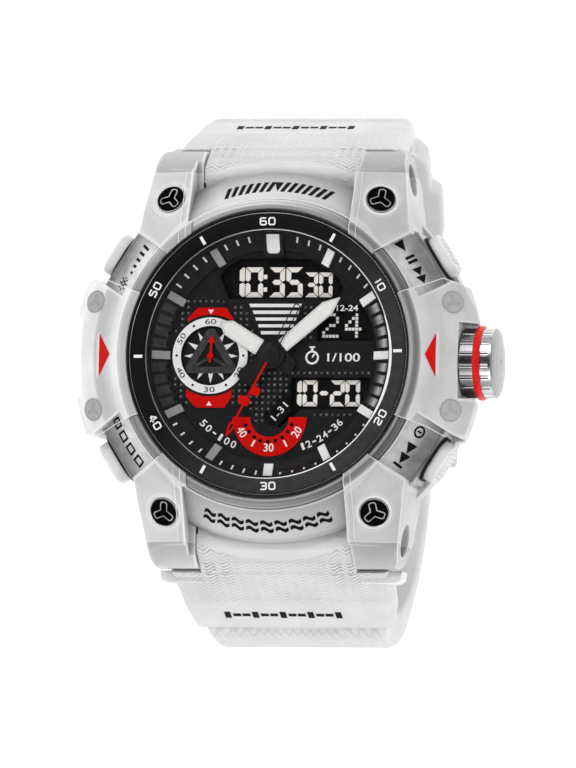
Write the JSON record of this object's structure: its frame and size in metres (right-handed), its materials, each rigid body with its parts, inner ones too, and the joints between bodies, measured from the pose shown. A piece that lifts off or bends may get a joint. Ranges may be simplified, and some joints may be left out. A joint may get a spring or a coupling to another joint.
{
  "type": "analogue-digital sports wristwatch",
  "caption": "Sports wristwatch with a round dial, hands over digital displays, a small lap dial, corner-screwed lugs, crown, pushers and a buckled resin strap.",
  "frame": {"origin": "centre of the case back's outer face", "axes": "+Z along the dial normal towards the crystal, +Y towards 12 o'clock, +X towards the crown"},
  "size_m": [0.0569, 0.069, 0.0564],
  "materials": {
    "frosted_resin": "translucent frosted, satin",
    "silver_resin": "clear-coated silver grey",
    "screw_black": "black face, polished steel edges",
    "signal_red": "satin",
    "ring_black": "satin black with bright inner edge",
    "crystal_glass": "polished",
    "seal_rubber": "matte",
    "dial_black": "matte black",
    "marker_paint": "satin",
    "lcd": "dark glass",
    "module_plastic": "moulded",
    "board": "solder mask",
    "steel": "brushed",
    "polished_steel": "polished",
    "brass": "turned",
    "copper": "enamelled copper winding",
    "hand_paint": "white lume on black frame",
    "strap_resin": "translucent frosted, embossed"
  },
  "bodies": {
    "case": {"mid_case": "silver_resin", "bezel_frame": "frosted_resin", "corner_screws": "screw_black", "guard_triangles": "signal_red", "minute_ring": "ring_black", "crystal": "crystal_glass", "crystal_gasket": "seal_rubber", "flange_ring": "dial_black", "hour_markers": "marker_paint", "dial_plate": "dial_black", "dial_inlays": "signal_red", "subdial_ring": "marker_paint", "subdial_frame": "dial_black", "lcd_panel": "lcd", "movement_frame": "module_plastic", "circuit_board": "board", "zebra_strips": "seal_rubber", "battery": "polished_steel", "battery_clip": "steel", "buzzer": "brass", "motor_coils": "copper", "motor_stators": "steel", "case_back": "steel", "case_back_gasket": "seal_rubber", "case_back_screws": "polished_steel", "pusher_collars": "seal_rubber", "pusher_springs": "steel", "crown_tube": "polished_steel", "spring_bar_12": "steel", "spring_bar_6": "steel"},
    "strap_12": {"strap_12": "strap_resin", "buckle_bar": "steel", "keeper_fixed": "strap_resin"},
    "strap_6": {"strap_6": "strap_resin"},
    "keeper_free": {"keeper_free": "strap_resin"},
    "buckle_frame": {"buckle_frame": "polished_steel"},
    "buckle_tongue": {"buckle_tongue": "polished_steel"},
    "setting_lever": {"setting_lever": "steel"},
    "crown": {"crown_cap": "polished_steel", "crown_ring": "signal_red", "crown_stem": "steel", "crown_gasket": "seal_rubber"},
    "hour": {"hour_hand": "hand_paint", "hour_wheel": "brass"},
    "minute": {"minute_hand": "hand_paint", "cannon_pinion": "brass"},
    "motion_wheel": {"motion_wheel": "brass"},
    "seconds": {"second_hand": "signal_red", "seconds_arbor": "steel"},
    "subdial_hand": {"subdial_hand": "signal_red"},
    "pusher_2": {"pusher_2_cap": "frosted_resin", "pusher_2_stem": "steel"},
    "pusher_10": {"pusher_10_cap": "frosted_resin", "pusher_10_stem": "steel"},
    "pusher_8": {"pusher_8_cap": "frosted_resin", "pusher_8_stem": "steel"},
    "pusher_4": {"pusher_4_cap": "frosted_resin", "pusher_4_stem": "steel"}
  },
  "joints": [
    {"name": "strap_12_fold", "type": "hinge", "parent": "case", "child": "strap_12", "pos_m": [0, 0.0239, 0.0063], "axis": [1, 0, 0], "range_deg": [0, 40]},
    {"name": "strap_6_fold", "type": "hinge", "parent": "case", "child": "strap_6", "pos_m": [0, -0.0239, 0.0063], "axis": [1, 0, 0], "range_deg": [-52, 0], "deforming": ["strap_6"]},
    {"name": "keeper_slide", "type": "slide", "parent": "strap_12", "child": "keeper_free", "axis": [0, 1, 0], "range_m": [-0.0014, 0.001]},
    {"name": "buckle_hinge", "type": "hinge", "parent": "strap_12", "child": "buckle_frame", "pos_m": [0, 0.004, -0.03355], "axis": [1, 0, 0], "range_deg": [0, 70]},
    {"name": "tongue_hinge", "type": "hinge", "parent": "strap_12", "child": "buckle_tongue", "pos_m": [0, 0.004, -0.03355], "axis": [1, 0, 0], "range_deg": [0, 28]},
    {"name": "crown_pull", "type": "slide", "parent": "case", "child": "setting_lever", "axis": [1, 0, 0], "range_m": [0, 0.001]},
    {"name": "crown_turn", "type": "hinge", "parent": "setting_lever", "child": "crown", "pos_m": [0.02, -0.0005, 0.0085], "axis": [1, 0, 0], "continuous": true},
    {"name": "minute_turn", "type": "hinge", "parent": "case", "child": "minute", "pos_m": [0, 0, 0.0138], "axis": [0, 0, -1], "continuous": true},
    {"name": "motion_turn", "type": "hinge", "parent": "case", "child": "motion_wheel", "pos_m": [0, -0.003, 0.0095], "axis": [0, 0, -1], "continuous": true},
    {"name": "hour_turn", "type": "hinge", "parent": "case", "child": "hour", "pos_m": [0, 0, 0.0134], "axis": [0, 0, -1], "continuous": true},
    {"name": "seconds_turn", "type": "hinge", "parent": "case", "child": "seconds", "pos_m": [0, 0, 0.0142], "axis": [0, 0, -1], "continuous": true},
    {"name": "subdial_turn", "type": "hinge", "parent": "case", "child": "subdial_hand", "pos_m": [-0.0084, 0, 0.0129], "axis": [0, 0, -1], "continuous": true},
    {"name": "pusher_2_press", "type": "slide", "parent": "case", "child": "pusher_2", "axis": [-0.848, -0.5299, 0], "range_m": [0, 0.0009], "stiffness_N_per_m": 900, "deforming": ["pusher_springs"]},
    {"name": "pusher_10_press", "type": "slide", "parent": "case", "child": "pusher_10", "axis": [0.848, -0.5299, 0], "range_m": [0, 0.0009], "stiffness_N_per_m": 900, "deforming": ["pusher_springs"]},
    {"name": "pusher_8_press", "type": "slide", "parent": "case", "child": "pusher_8", "axis": [0.848, 0.5299, 0], "range_m": [0, 0.0009], "stiffness_N_per_m": 900, "deforming": ["pusher_springs"]},
    {"name": "pusher_4_press", "type": "slide", "parent": "case", "child": "pusher_4", "axis": [-0.848, 0.5299, 0], "range_m": [0, 0.0009], "stiffness_N_per_m": 900, "deforming": ["pusher_springs"]}
  ],
  "couplings": [
    {"joint": "motion_turn", "follows": "minute_turn", "ratio": -0.33333},
    {"joint": "hour_turn", "follows": "minute_turn", "ratio": 0.083333},
    {"joint": "strap_6_fold", "follows": "strap_12_fold", "ratio": -1.3}
  ]
}
